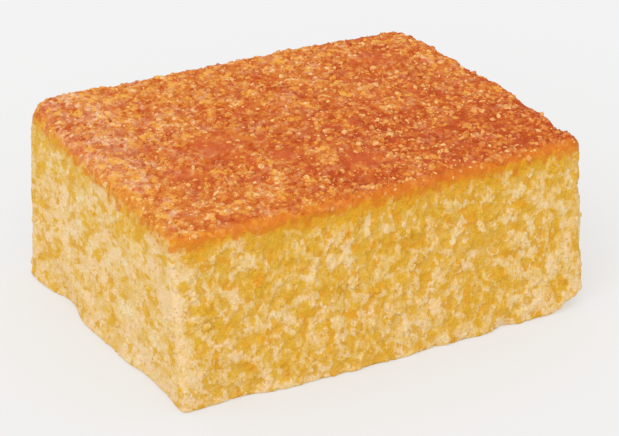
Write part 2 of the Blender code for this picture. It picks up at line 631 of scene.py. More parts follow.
# ---------------------------------------------------------------------------------------------------
# The torn crumb and the pebbled crust, as heights over the block


@dataclass(frozen=True)
class Patch:
    """A soft patch of crust that baked more, or below 0 less: its (u, v), reach in mm and strength."""

    place: tuple[float, float]
    reach: float
    strength: float


@dataclass(frozen=True)
class Places:
    """Places on the block: (N, 3) points, and their (N,) shares u across and v along, from -1 to 1."""

    points: Array
    u: Array
    v: Array


@dataclass
class Baking:
    """How far each place stands out from the block, and how it has baked.

    Both the crumb and the crust are worked out here, from the place alone, so that they meet. A swing
    is how far a field of noise moves an edge, and a fall is where the edge fades from 1 to 0.
    """

    block: Block
    hills: float = 0.12 * MM
    plateaus: float = 0.19 * MM
    knobs: float = 0.11 * MM
    pores: float = 0.24 * MM
    grit: float = 0.08 * MM
    sunk: float = 0.10 * MM
    crust_waves: float = 0.25 * MM
    crust_clods: float = 0.16 * MM
    crust_pebbles: float = 0.11 * MM
    crust_grit: float = 0.08 * MM
    pore_size: float = 2.0 * MM
    pebble_size: float = 1.1 * MM
    tip_size: float = 4.5 * MM
    tip_fall: float = 1.1
    short_middle: float = -0.58
    short_reach: float = 0.3
    left_side: Span = (-0.85, -0.97)
    half_way: float = 18 * MM
    strong_from: float = 0.5
    seam_swing: float = 0.45
    gilt_swing: float = 1.0 * MM
    rim_swing: float = 1.3 * MM
    warm_swing: float = 1.5 * MM
    seam_fall: Span = (0.3, 2.1)
    gilt_fall: Span = (-1.2 * MM, 1.5 * MM)
    rim_fall: Span = (0.4 * MM, 2.9 * MM)
    warm_fall: Span = (0.1, 1.0)
    crumb_bend: Bend = Bend(11, 1.2, 0.45)
    pore_bend: Bend = Bend(17, 0.9, 0.40)
    pebble_bend: Bend = Bend(23, 1.0, 0.45)
    hill_field: Grain = Grain(12, 6.0, 2)
    tuft_field: Grain = Grain(13, 2.5, 3, 0.7)
    grit_field: Grain = Grain(16, 0.8, 2)
    wave_field: Grain = Grain(21, 8.0, 2)
    clod_field: Grain = Grain(26, 2.6, 2)
    pebble_grit_field: Grain = Grain(24, 0.8, 2)
    fire_field: Grain = Grain(25, 6.0)
    seam_field: Grain = Grain(31, 3.0, 3, 0.6)
    warm_field: Grain = Grain(32, 4.0, 3, 0.6)
    rim_field: Grain = Grain(33, 4.0)
    spot_field: Grain = Grain(34, 5.0, 2)
    toast_field: Grain = Grain(35, 2.2)
    gilt_field: Grain = Grain(36, 3.0, 3, 0.6)
    patches: tuple[Patch, ...] = (
        Patch((0.0, 0.0), 24.0, 0.15),
        Patch((-0.45, -0.12), 8.0, 0.5),
        Patch((-0.70, -0.34), 4.5, 0.5),
        Patch((-0.24, -0.38), 4.5, 0.5),
        Patch((-0.50, 0.20), 6.0, -0.4),
        Patch((0.32, 0.12), 5.0, -0.4),
        Patch((-0.90, -0.80), 13.0, -0.7),
        Patch((-0.47, -0.72), 7.0, -0.5),
        Patch((0.28, 0.40), 7.0, -0.5),
        Patch((0.47, 0.85), 6.0, -0.4),
        Patch((0.90, 0.85), 6.0, -0.9),
        Patch((0.88, 0.35), 6.0, -0.7),
        Patch((0.68, 0.60), 7.0, 0.5),
        Patch((-0.95, -0.10), 9.0, -0.5),
        Patch((-0.95, -0.50), 8.0, -0.3),
        Patch((0.04, -0.62), 6.0, 0.7),
        Patch((0.50, -0.15), 5.0, -0.5),
        Patch((0.92, -0.15), 5.0, -0.5),
        Patch((0.30, 0.65), 5.0, -0.4),
        Patch((-0.30, -0.65), 5.0, -0.3),
    )

    def drawn(self, points: Array) -> Array:
        """Where each place lies in the crumb's pattern, which leans and is drawn out on the left side.

        Args:
            points: (N, 3) places.

        Returns:
            (N, 3) places in the pattern: a way for each step along x, y and z, summed. The way for y
            turns from the left side's into the right side's across the piece, and counts from the front.
        """
        left = (1 - points[:, :1] / self.block.half[0]) / 2
        back = left * WAY_BACK_AT_LEFT + (1 - left) * WAY_BACK_AT_RIGHT
        behind = points[:, 1:2] - self.block.low[1]
        return points[:, :1] * WAY_ACROSS + behind * back + points[:, 2:] * WAY_UP

    def depth(self, at: Places) -> Array:
        """How far each place lies below the top of the crust, in metres."""
        return self.block.low[2] + self.block.rim_height(at.u, at.v) - at.points[:, 2]

    def rolled(self, at: Places) -> Array:
        """How far over the rim each place lies: its depth, over a third of the rim's roll and 0.5 mm."""
        return self.depth(at) / (0.35 * self.block.roll(at.u, at.v) + 0.5 * MM)

    def browned(self, at: Places) -> Array:
        """How browned each place is, from 0 in the crumb to 1 on the crust.

        Args:
            at: the places.

        Returns:
            (N,) values that fall over the rim's roll, sooner or later by a smooth noise, and sooner at
            the front left corner.
        """
        uneven = self.seam_swing * self.seam_field.at(at.points)
        return 1 - smoothstep(*self.seam_fall, self.rolled(at) + uneven + self.tip_fall * self.tip(at))

    def tip(self, at: Places) -> Array:
        """How near the front left corner each place is, where the crust stops short: a bell curve."""
        across, along = (1 + at.u) * self.block.half[0], (1 + at.v) * self.block.half[1]
        return np.exp(-(across**2 + along**2) / self.tip_size**2)

    def near_corner(self, at: Places) -> Array:
        """The stretch of the left rim before that corner, where it stops short too: a bell curve."""
        return np.exp(-(((at.v - self.short_middle) / self.short_reach) ** 2))

    def at_left(self, at: Places) -> Array:
        """How far each place belongs to the left side: 1 on it, and 0 a few millimetres inside."""
        return smoothstep(*self.left_side, at.u)

    def gilded(self, at: Places) -> Array:
        """How golden the crust is along the left rim.

        Args:
            at: the places.

        Returns:
            (N,) values: 1 at the rim, and 0 inside a reach that is longest at the rim's two ends.
        """
        inside = (1 + at.u) * self.block.half[0]
        far_end = smoothstep(0.72, 0.97, at.v)
        reach = 0.2 + 2.6 * self.near_corner(at) + 2.0 * self.tip(at) + 3.2 * far_end
        uneven = self.gilt_swing * self.gilt_field.at(at.points)
        return 1 - smoothstep(*self.gilt_fall, inside - (reach * MM + uneven))

    def toasted(self, at: Places) -> Array:
        """How toasted the crumb is under the crust: a band at the front, a line and spots elsewhere.

        Args:
            at: the places.

        Returns:
            (N,) values from 0 to 1: a strength, faded out between a start and a reach over the rim.
            Noise moves all three, and the left side starts later and is weaker.
        """
        front = smoothstep(-0.2, -0.8, at.v) * smoothstep(-1.0, -0.96, at.u)
        left = self.at_left(at)
        spots = smoothstep(0.35, 0.9, self.spot_field.at(at.points))
        uneven = self.toast_field.at(at.points)
        strength = 0.85 + 0.15 * spots + 0.3 * uneven - 0.1 * front + left * (0.4 * uneven - 0.3)
        start = 1.1 + 0.4 * left
        reach = 3.0 + 1.0 * front + 1.5 * spots + left * (0.5 + 1.5 * self.near_corner(at))
        faded = smoothstep(start, reach, self.rolled(at) + 0.9 * uneven)
        return np.clip(strength, 0, 1) * (1 - faded)

    def rim(self, at: Places) -> Array:
        """How near the front rim each place is: 1 at the rim, and 0 a few millimetres inside."""
        inside = (1 + at.v) * self.block.half[1] + self.rim_swing * self.rim_field.at(at.points)
        return 1 - smoothstep(*self.rim_fall, inside)

    def warm(self, at: Places) -> Array:
        """How golden the crumb is under the crust.

        Args:
            at: the places.

        Returns:
            (N,) values: 1 at the rim, and 0 at a reach below it that is longest in the middle of the
            front, and on the left side counts the rim's roll too.
        """
        uneven = self.warm_swing * self.warm_field.at(at.points)
        front = smoothstep(-0.3, -0.8, at.v) * smoothstep(-1.0, -0.93, at.u)
        left = self.at_left(at)
        right_end = smoothstep(0.5, 0.95, at.u)
        reach = 3.4 + 3.1 * front * (1 - 0.5 * right_end) + left * (0.2 + 1.4 * self.near_corner(at))
        roll = 0.6 * self.block.roll(at.u, at.v)
        return 1 - smoothstep(*self.warm_fall, (self.depth(at) + uneven) / (reach * MM + left * roll))

    def paler(self, points: Array) -> Array:
        """How much more of the crumb is pale.

        Args:
            points: (N, 3) places on the block.

        Returns:
            (N,) values: a base, and more on the left and right sides, at their corner and near the foot.
        """
        half = self.block.half
        across = points[:, 0] / half[0]
        left = (0.49 - 0.16 * points[:, 1] / half[1]) * smoothstep(0.82, 0.97, -across)
        right = 0.28 * smoothstep(0.35, 0.97, across)
        corner = 0.15 * smoothstep(0.72, 1.0, -across) * smoothstep(0.72, 1.0, -points[:, 1] / half[1])
        return 0.2 + left + right + corner + 0.12 * (1 - points[:, 2] / self.half_way)

    def crumb(self, points: Array) -> tuple[Array, Array]:
        """The torn crumb.

        Args:
            points: (N, 3) places on the block.

        Returns:
            How far each place stands out, in metres, and how much of a tuft it is, from about -1.5 to
            1.5. Slow hills, knobbly plateaus and grit stand out, and crooked round pores are pressed in
            where a cell's own number is high; there the tuft value drops, which paints shade in the
            pores.
            All is gentler on the left side.
        """
        drawn = self.drawn(points)
        places = self.crumb_bend.at(drawn)
        hills = self.hill_field.at(places)
        tufts = 1.05 * self.tuft_field.at(places) + self.paler(points)
        away, own = Noise(14).cells(self.pore_bend.at(places), self.pore_size)
        shaded_pore = np.clip(1 - (away / (0.16 + 0.30 * own)) ** 2, 0, 1) * (own > 0.55)
        raised = smoothstep(-0.25, 0.45, tufts)
        grit = self.grit_field.at(drawn) * (0.35 + 0.65 * raised)
        lift = self.hills * hills + self.plateaus * (raised - 0.5)
        lift = lift + self.knobs * tufts + self.grit * grit
        gentle = 1 - 0.72 * smoothstep(0.82, 0.95, -points[:, 0] / self.block.half[0])
        # Pores count as less of a tuft, so they are painted deeper gold: painted shade and bounced light
        # in them.
        pale = 0.75 * tufts + 0.5 * (raised - 0.5) - 0.7 * smoothstep(0.0, 0.6, shaded_pore)
        return (lift - self.pores * shaded_pore) * gentle - self.sunk, pale

    def crust(self, points: Array, rim: Array) -> Array:
        """The crust.

        Args:
            points: (N, 3) places on the block.
            rim: (N,) how near the front rim they are.

        Returns:
            How far each place stands out, in metres. Slow waves and clods carry pebbles with rounded
            tops and narrow gaps, and grit, both smoother at the front rim.
        """
        waves = self.wave_field.at(points)
        places = points - CRUST_SQUEEZE * (points @ np.array(DEPTH_WAY))[:, None] * np.array(DEPTH_WAY)
        clods = self.clod_field.at(places)
        away, own = Noise(22).cells(self.pebble_bend.at(places), self.pebble_size)
        pebbles = (0.2 + 0.8 * own) - away**2 * 1.3
        grit = self.pebble_grit_field.at(places)
        fine = (self.crust_pebbles * pebbles + self.crust_grit * grit) * (1 - 0.45 * rim)
        return self.crust_waves * waves + self.crust_clods * clods + fine

    def fired(self, at: Places) -> Array:
        """How strongly the crust has baked, and a painted sheen: from about -1 to 1, most at the front
        right, in patches.
        """
        # Lower to the left and back, where the finish turns it paler: partly painted sheen.
        slope = 0.45 * at.u - 0.36 * at.v + 0.3 * self.fire_field.at(at.points)
        return slope + self.patch_shares(at) @ np.array([patch.strength for patch in self.patches])

    def patch_shares(self, at: Places) -> Array:
        """How near each place is to the middle of each patch of the crust.

        Args:
            at: the places.

        Returns:
            (N, P) bell curves: 1 in the middle of the patch, and 0 about two reaches away.
        """
        middles = np.array([patch.place for patch in self.patches])
        reaches = np.array([patch.reach for patch in self.patches]) * MM
        away = (np.stack([at.u, at.v], axis=-1)[:, None] - middles) * self.block.half[:2]
        return np.exp(-(away**2).sum(axis=-1) / reaches**2)

    def bare(self, at: Places) -> Array:
        """How bare of crumbs the crust is: the strong patches' shares, squared and summed up to 1."""
        strong = np.array([patch.strength for patch in self.patches]) >= self.strong_from
        return np.clip(self.patch_shares(at) ** 2 @ strong, 0, 1)

    def pattern_places(self, points: Array) -> dict[str, Array]:
        """The places in the crumb's pattern as three values, for the finish to read."""
        return dict(zip(("drawn_x", "drawn_y", "drawn_z"), self.drawn(points).T))

    def bake(self, surface: Surface, u: Array, v: Array) -> None:
        """Moves a surface's points out by the crumb's or the crust's height, and keeps the values.

        Args:
            surface: the surface, which is changed. Nothing sinks below the foot.
            u: (N,) shares across.
            v: (N,) shares along.
        """
        points = surface.points
        at = Places(points, u, v)
        browned, warm, rim = self.browned(at), self.warm(at), self.rim(at)
        torn, tuft = self.crumb(points)
        baked = self.crust(points, rim)
        swell = self.block.swell * self.block.swelling.at(points)
        lift = browned * baked + (1 - browned) * torn * (1 - 0.35 * warm)
        surface.points = points + surface.normals() * (lift + swell)[:, None]
        surface.points[:, 2] = np.maximum(surface.points[:, 2], self.block.low[2])
        values = {"browned": browned, "warm": warm, "rim": rim, "tuft": tuft, "bare": self.bare(at)}
        values |= {"toasted": self.toasted(at), "fired": self.fired(at), "gilded": self.gilded(at)}
        values |= {"pallor": self.paler(points), "lift": lift / MM}
        # Painted sheen: rosy tones spread over the crust's left and back, as a pinkish gloss.
        values["rosy"] = smoothstep(0.5, 0.95, -u) * smoothstep(-0.6, 0.0, v)
        surface.values = values | self.pattern_places(points)


# ---------------------------------------------------------------------------------------------------
# Finishes


class Field(Enum):
    """The ready-made fields that a finish may read: the node, and which of its outputs."""

    NOISE = ("TexNoise", "Fac")
    CELLS = ("TexVoronoi", "Distance")
    GRAINS = ("TexVoronoi", "Color")


class Paint:
    """Builds a material's nodes by short calls. Patterns are laid by the object's own coordinates."""

    # The Mix node's sockets for colours: the one turned from, the one turned into, and the result.
    FROM, INTO, MIXED = 6, 7, 2

    def __init__(self, name: str) -> None:
        """Starts a material with a Principled shader.

        Args:
            name: the material's name.
        """
        self.material = bpy.data.materials.new(name)
        self.material.use_nodes = True
        self.tree = self.material.node_tree
        self.shader = self.tree.nodes["Principled BSDF"]
        self.origin = self.node("TexCoord", {})["Object"]
        self.where = self.origin
        self.crooked = self.origin

    def node(self, kind: str, inputs: dict[object, object], **settings: object) -> bpy.types.NodeOutputs:
        """Adds a node.

        Args:
            kind: the end of its type's name.
            inputs: what goes into its sockets, by name or number: an output or a plain value.
            settings: its other settings.

        Returns:
            Its outputs.
        """
        made = self.tree.nodes.new("ShaderNode" + kind)
        for key, setting in settings.items():
            setattr(made, key, setting)
        for key, value in inputs.items():
            self.put(made.inputs[key], value)
        return made.outputs

    def put(self, socket: bpy.types.NodeSocket, value: object) -> None:
        """Links an output into a socket, or sets the socket to a plain value.

        Args:
            socket: the socket.
            value: the output or the value. A colour of three parts is made opaque.
        """
        if isinstance(value, bpy.types.NodeSocket):
            self.tree.links.new(value, socket)
        elif isinstance(value, tuple) and len(value) < len(socket.default_value):
            socket.default_value = (*value, 1.0)
        else:
            socket.default_value = value

    def lay(self, place: bpy.types.NodeSocket, size: float, reach: float) -> None:
        """Sets where the patterns that follow are laid.

        Args:
            place: the coordinates.
            size: the size, in mm, of the noise that bends the cells' coordinates.
            reach: how far it bends them, in mm.
        """
        self.where = place
        noise = self.node("TexNoise", {"Scale": 1.0 / (size * MM), "Vector": place})["Color"]
        bent = {0: noise, 1: (reach * MM,) * 3, 2: place}
        self.crooked = self.node("VectorMath", bent, operation="MULTIPLY_ADD")["Vector"]

    def value(self, name: str) -> bpy.types.NodeSocket:
        """The piece's own value of that name."""
        return self.node("Attribute", {}, attribute_name=name)["Fac"]

    def joined(self, *names: str) -> bpy.types.NodeSocket:
        """Coordinates put together from three of the piece's own values."""
        return self.node("CombineXYZ", dict(enumerate(map(self.value, names))))["Vector"]

    def squeezed(self, place: bpy.types.NodeSocket, way: Sizes, share: float) -> bpy.types.NodeSocket:
        """Coordinates that run slower along one way, which draws patterns out along it.

        Args:
            place: the coordinates.
            way: the way, of length one.
            share: by what share they run slower.

        Returns:
            The coordinates less that share of their part along the way.
        """
        along = self.node("VectorMath", {0: place, 1: way}, operation="DOT_PRODUCT")["Value"]
        moved = {0: along, 1: tuple(-share * part for part in way), 2: place}
        return self.node("VectorMath", moved, operation="MULTIPLY_ADD")["Vector"]

    def pattern(
        self, kind: Field, size: float, detail: float = 2.0, gain: float = 0.5
    ) -> bpy.types.NodeSocket:
        """A field with lumps of about that size, from 0 to 1.

        Args:
            kind: noise, the distance to a cell's middle, or each cell's own number.
            size: the lumps' size in mm.
            detail: how many finer layers noise has.
            gain: how strong each finer layer is, as a share of the last.

        Returns:
            The field's output. Cells have crooked edges.
        """
        node_type, output = kind.value
        inputs = {"Scale": 1.0 / (size * MM), "Vector": self.crooked}
        if kind is Field.NOISE:
            inputs |= {"Vector": self.where, "Detail": detail, "Roughness": gain}
        return self.node(node_type, inputs)[output]

    def sum(self, *terms: tuple[object, float], plus: float = 0.0) -> bpy.types.NodeSocket:
        """Adds up outputs, each multiplied by a number.

        Args:
            terms: each an output and its number.
            plus: a constant.

        Returns:
            The sum's output.
        """
        total: object = plus
        for socket, factor in terms:
            total = self.node("Math", {0: socket, 1: factor, 2: total}, operation="MULTIPLY_ADD")[0]
        return total

    def times(self, one: object, two: object) -> bpy.types.NodeSocket:
        """One value times another."""
        return self.node("Math", {0: one, 1: two}, operation="MULTIPLY")[0]

    def rise(self, value: object, low: float, high: float) -> bpy.types.NodeSocket:
        """An S-shaped rise from 0 at low to 1 at high."""
        inputs = {"Value": value, "From Min": low, "From Max": high}
        return self.node("MapRange", inputs, interpolation_type="SMOOTHSTEP")["Result"]

    def ramp(self, share: object, stops: Stops) -> bpy.types.NodeSocket:
        """Colours along a scale from 0 to 1.

        Args:
            share: the place on the scale.
            stops: the places of the tones, and the tones.

        Returns:
            The colour's output.
        """
        colour = self.node("ValToRGB", {"Fac": share})["Color"]
        marks = colour.node.color_ramp.elements
        for index, (place, tone) in enumerate(stops):
            mark = marks[index] if index < 2 else marks.new(place)
            mark.position = place
            mark.color = (*tone, 1.0)
        return colour

    def mix(self, share: object, one: object, two: object, way: str = "MIX") -> bpy.types.NodeSocket:
        """One colour turning into another by a share, or by another way of blending the two."""
        inputs = {self.FROM: one, self.INTO: two, 0: share}
        return self.node("Mix", inputs, data_type="RGBA", blend_type=way)[self.MIXED]

    def bump(self, height: object, strength: float, distance: float) -> None:
        """Fine relief on the shader's normal."""
        inputs = {"Height": height, "Strength": strength, "Distance": distance}
        self.put(self.shader.inputs["Normal"], self.node("Bump", inputs)["Normal"])

    def finish(self, colour: object, roughness: object, specular: float) -> bpy.types.Material:
        """Sets the shader.

        Args:
            colour: the base colour.
            roughness: the roughness.
            specular: the specular level.

        Returns:
            The material.
        """
        inputs = {"Base Color": colour, "Roughness": roughness, "Specular IOR Level": specular}
        for key, value in inputs.items():
            self.put(self.shader.inputs[key], value)
        return self.material


@dataclass(frozen=True)
class BakedFinish:
    """The colours of crumb and crust, and how they turn into one another.

    Each scale runs from the darkest tone at 0 to the palest at 1. Each span gives the values of a field
    between which a colour comes in.
    """

    crumb: Stops = even_scale(
        (205, 144, 20), (212, 159, 42), (217, 169, 70), (223, 182, 104), (227, 195, 134), (231, 210, 168)
    )
    crust: Stops = even_scale(
        (178, 68, 18), (191, 87, 25), (202, 107, 34), (212, 130, 50), (224, 158, 86), (236, 196, 140)
    )
    rosy_crust: Stops = even_scale(
        (174, 68, 32), (186, 90, 46), (200, 113, 67), (211, 138, 92), (222, 164, 119), (233, 192, 145)
    )
    gilt: Stops = (
        (0.0, shade(184, 92, 24)),
        (0.4, shade(202, 120, 36)),
        (0.7, shade(215, 142, 48)),
        (1.0, shade(228, 174, 84)),
    )
    lemon: Colour = shade(220, 174, 46)
    blush: Colour = shade(233, 198, 152)
    # Painted shade: the dark of tiny pores, multiplied over the crumb's colour.
    speck_shade: Colour = (0.55, 0.42, 0.28)
    amber: Colour = shade(219, 149, 32)
    golden: Colour = shade(215, 151, 28)
    # Painted shade: the darker gold of the shade in the crumb's pores.
    shaded_pore: Colour = shade(198, 140, 46)
    toasted: Colour = shade(209, 120, 22)
    rim: Colour = shade(216, 127, 30)
    corn: Colour = shade(230, 164, 58)
    ruddy: Colour = shade(208, 86, 46)
    bare: Colour = shade(204, 96, 46)

    isle_span: Span = (0.465, 0.605)
    lemon_span: Span = (0.54, 0.62)
    blush_span: Span = (0.48, 0.60)
    amber_span: Span = (0.53, 0.62)
    pale_span: Span = (0.35, 0.65)
    palest_span: Span = (0.4, 0.9)
    shaded_pore_span: Span = (0.64, 0.70)
    speck_shade_span: Span = (0.58, 0.74)
    grain_span: Span = (0.56, 0.64)
    rosy_span: Span = (0.71, 0.90)
    corn_span: Span = (0.62, 0.68)
    light_span: Span = (0.3, 0.6)
    ruddy_span: Span = (0.56, 0.68)
    toasted_span: Span = (0.25, 0.75)
    browned_span: Span = (0.26, 0.78)
    toasted_fray: float = 2.2
    browned_fray: float = 2.0
    relief: float = 0.2 * MM

    def crumb_scale(self, paint: Paint) -> object:
        """Where each place of the crumb stands on its scale of tones.

        Args:
            paint: the material, with its patterns laid in the crumb's own way.

        Returns:
            The value outside the pale isles, turning into the value inside them. The isles are where a
            crinkled noise, raised by the tufts and a little by single crumbs, is high.
        """
        small = paint.pattern(Field.GRAINS, 0.85)
        coarse = paint.pattern(Field.GRAINS, 1.3)
        fine = paint.pattern(Field.NOISE, 0.6, 1.0)
        knob = paint.pattern(Field.CELLS, 0.85)
        crinkled = paint.pattern(Field.NOISE, 2.6, 2.0, 0.6)
        broad = paint.pattern(Field.NOISE, 4.0, 2.0)
        tuft, pallor, warm = map(paint.value, ("tuft", "pallor", "warm"))
        spread = paint.sum(
            (crinkled, 0.66), (tuft, 0.11), (pallor, 0.06), (coarse, 0.25), (small, 0.07), (warm, -0.10)
        )
        isles = paint.rise(spread, *self.isle_span)
        inside = paint.sum(
            (small, 0.32), (knob, -0.24), (fine, 0.06), (broad, 0.86), (pallor, 0.16), plus=0.13
        )
        outside = paint.sum(
            (small, 0.26), (coarse, 0.14), (broad, 0.80), (fine, 0.06), (pallor, 0.12), plus=-0.32
        )
        lifted = paint.times(isles, paint.sum((inside, 1.0), (outside, -1.0)))
        return paint.sum((lifted, 1.0), (outside, 1.0))

    def crumb_colour(self, paint: Paint) -> object:
        """The crumb's colour: small crumbs, each with a tone of its own, paler where it is a tuft.

        Args:
            paint: the material.

        Returns:
            The scale's tones, then lemon and amber crumbs in the gaps, rosy ones on the tufts, gold
            under the crust, and painted shade: darker spots as in pores, and fine dark specks that dim
                what they lie on.
        """
        paint.lay(paint.joined("drawn_x", "drawn_y", "drawn_z"), 0.7, 0.5)
        scale = self.crumb_scale(paint)
        warm, pallor = paint.value("warm"), paint.value("pallor")
        pale = paint.rise(scale, *self.pale_span)
        lemon = paint.rise(paint.pattern(Field.GRAINS, 1.2), *self.lemon_span)
        gaps = paint.times(paint.sum((pale, -0.6), plus=0.7), paint.sum((pallor, 0.8), plus=0.4))
        base = paint.mix(paint.times(lemon, gaps), paint.ramp(scale, self.crumb), self.lemon)
        amber = paint.rise(paint.pattern(Field.NOISE, 2.2, 3.0), *self.amber_span)
        amber = paint.times(amber, paint.sum((pallor, -1.2), plus=1.2))
        base = paint.mix(paint.times(amber, paint.sum((pale, -0.7), plus=0.7)), base, self.amber)
        blush = paint.rise(paint.pattern(Field.GRAINS, 1.9), *self.blush_span)
        blush = paint.times(blush, paint.times(paint.rise(scale, *self.palest_span), 0.7))
        base = paint.mix(blush, base, self.blush)
        base = paint.mix(paint.times(warm, paint.sum((pale, -0.25), plus=0.9)), base, self.golden)
        # Painted shade: darker gold spots laid by noise, as the shade in small pores.
        shaded_pore = paint.rise(paint.pattern(Field.NOISE, 0.9, 1.0), *self.shaded_pore_span)
        base = paint.mix(paint.times(shaded_pore, 0.45), base, self.shaded_pore)
        # Painted shade: fine dark specks, as of tiny pores, multiplied over the colour.
        flecks = paint.rise(paint.pattern(Field.NOISE, 0.42, 1.0), *self.speck_shade_span)
        return paint.mix(paint.times(flecks, 0.30), base, self.speck_shade, "MULTIPLY")

    def crust_colour(self, paint: Paint) -> object:
        """The crust's colour: grains of orange and rosy tones, in patches, with painted shade darker in
        the gaps.

        Args:
            paint: the material.

        Returns:
            The scale's tones, rosy in patches and in a painted sheen on the left and back, then
            corn-yellow grains, ruddy and bare patches, gilt along the left rim, and the golden orange of
            the front rim.
        """
        paint.lay(paint.squeezed(paint.origin, DEPTH_WAY, CRUST_SQUEEZE), 0.7, 0.7)
        coarse = paint.pattern(Field.GRAINS, 1.5)
        small = paint.pattern(Field.GRAINS, 0.85)
        fine = paint.pattern(Field.NOISE, 0.5, 2.0)
        patch = paint.pattern(Field.NOISE, 4.0, 3.0)
        clusters = paint.pattern(Field.NOISE, 2.6, 3.0)
        flecks = paint.rise(paint.pattern(Field.GRAINS, 1.1), *self.grain_span)
        lift, fired = paint.value("lift"), paint.value("fired")
        # The lift paints the pebbles' tops paler and the gaps between them darker: partly the crust's
        # own tones, partly painted shade.
        scale = paint.sum(
            (coarse, 0.32), (small, 0.34), (fine, 0.24), (lift, 0.55), (fired, -0.26), plus=-0.49
        )
        scale = paint.sum((scale, 1.0), (paint.value("tone"), 1.0), (flecks, 0.26), (clusters, 0.65))
        # Where the crust turns rosy: its own rosy patches, and the painted sheen of the left and back.
        rosy = paint.sum((patch, 1.0), (small, 0.4), (paint.value("rosy"), 0.25))
        tones = paint.ramp(scale, self.crust), paint.ramp(scale, self.rosy_crust)
        base = paint.mix(paint.rise(rosy, *self.rosy_span), *tones)
        corn = paint.rise(paint.pattern(Field.GRAINS, 1.4), *self.corn_span)
        corn = paint.times(corn, paint.times(paint.rise(scale, *self.light_span), 0.72))
        base = paint.mix(corn, base, self.corn)
        ruddy = paint.rise(paint.pattern(Field.NOISE, 3.0, 3.0), *self.ruddy_span)
        base = paint.mix(paint.times(ruddy, 0.4), base, self.ruddy)
        base = paint.mix(paint.times(paint.value("bare"), 0.6), base, self.bare)
        gilded = paint.times(paint.value("gilded"), paint.sum((small, 0.4), plus=0.6))
        base = paint.mix(gilded, base, paint.ramp(scale, self.gilt))
        return paint.mix(paint.times(paint.value("rim"), 0.58), base, self.rim)

    @staticmethod
    def frayed(paint: Paint, name: str, frays: object, reach: float) -> object:
        """A piece's own value with frayed edges.

        Args:
            paint: the material.
            name: the value's name.
            frays: a pattern from 0 to 1.
            reach: how far the pattern raises and lowers the value, from end to end.

        Returns:
            The value, moved wherever it is more than nothing.
        """
        value = paint.value(name)
        swing = paint.times(paint.sum((frays, reach), plus=-0.5 * reach), paint.rise(value, 0.0, 0.2))
        return paint.sum((value, 1.0), (swing, 1.0))

    def material(self, name: str) -> bpy.types.Material:
        """The finish of a piece that has both crumb and crust.

        Args:
            name: the material's name.

        Returns:
            The material: crumb, toasted crumb where "toasted" says so, and crust where "browned" does.
        """
        paint = Paint(name)
        crumb = self.crumb_colour(paint)
        frays = paint.pattern(Field.NOISE, 1.6, 3.0)
        crust = self.crust_colour(paint)
        toasted = self.frayed(paint, "toasted", frays, self.toasted_fray)
        toasted = paint.rise(toasted, *self.toasted_span)
        crumb = paint.mix(paint.times(toasted, 0.85), crumb, self.toasted)
        browned = self.frayed(paint, "browned", frays, self.browned_fray)
        colour = paint.mix(paint.rise(browned, *self.browned_span), crumb, crust)
        knobs = paint.pattern(Field.CELLS, 0.6)
        grit = paint.pattern(Field.NOISE, 0.35, 2.0)
        softer = paint.sum((paint.value("browned"), -0.6), plus=1.0)
        paint.bump(paint.times(paint.sum((knobs, -0.7), (grit, 0.6)), softer), 0.9, self.relief)
        return paint.finish(colour, 0.8, 0.2)


@dataclass(frozen=True)
class MealFinish:
    """The colours of the grains on the crust."""

    grains: Stops = (
        (0.0, shade(204, 104, 44)),
        (0.4, shade(214, 134, 60)),
        (0.75, shade(225, 160, 84)),
        (1.0, shade(236, 194, 130)),
    )

    def material(self, name: str) -> bpy.types.Material:
        """The finish of the grains.

        Args:
            name: the material's name.

        Returns:
            The material: each grain one tone of the scale, a little mottled.
        """
        paint = Paint(name)
        fine = paint.pattern(Field.NOISE, 0.5, 2.0)
        scale = paint.sum((paint.value("tone"), 0.9), (fine, 0.7), plus=-0.3)
        return paint.finish(paint.ramp(scale, self.grains), 0.6, 0.25)


@dataclass(frozen=True)
class FloorFinish:
    """The plain pale floor: a matte sheet lit softly from below, as a light table is."""

    colour: Colour = shade(165, 165, 165)
    glow: float = 0.46

    def material(self) -> bpy.types.Material:
        """The finish of the floor.

        Returns:
            The material: a matte pale sheet with a soft even glow.
        """
        paint = Paint("pale_floor")
        paint.put(paint.shader.inputs["Emission Color"], WHITE)
        paint.put(paint.shader.inputs["Emission Strength"], self.glow)
        return paint.finish(self.colour, 0.9, 0.0)


# ---------------------------------------------------------------------------------------------------
# The pieces


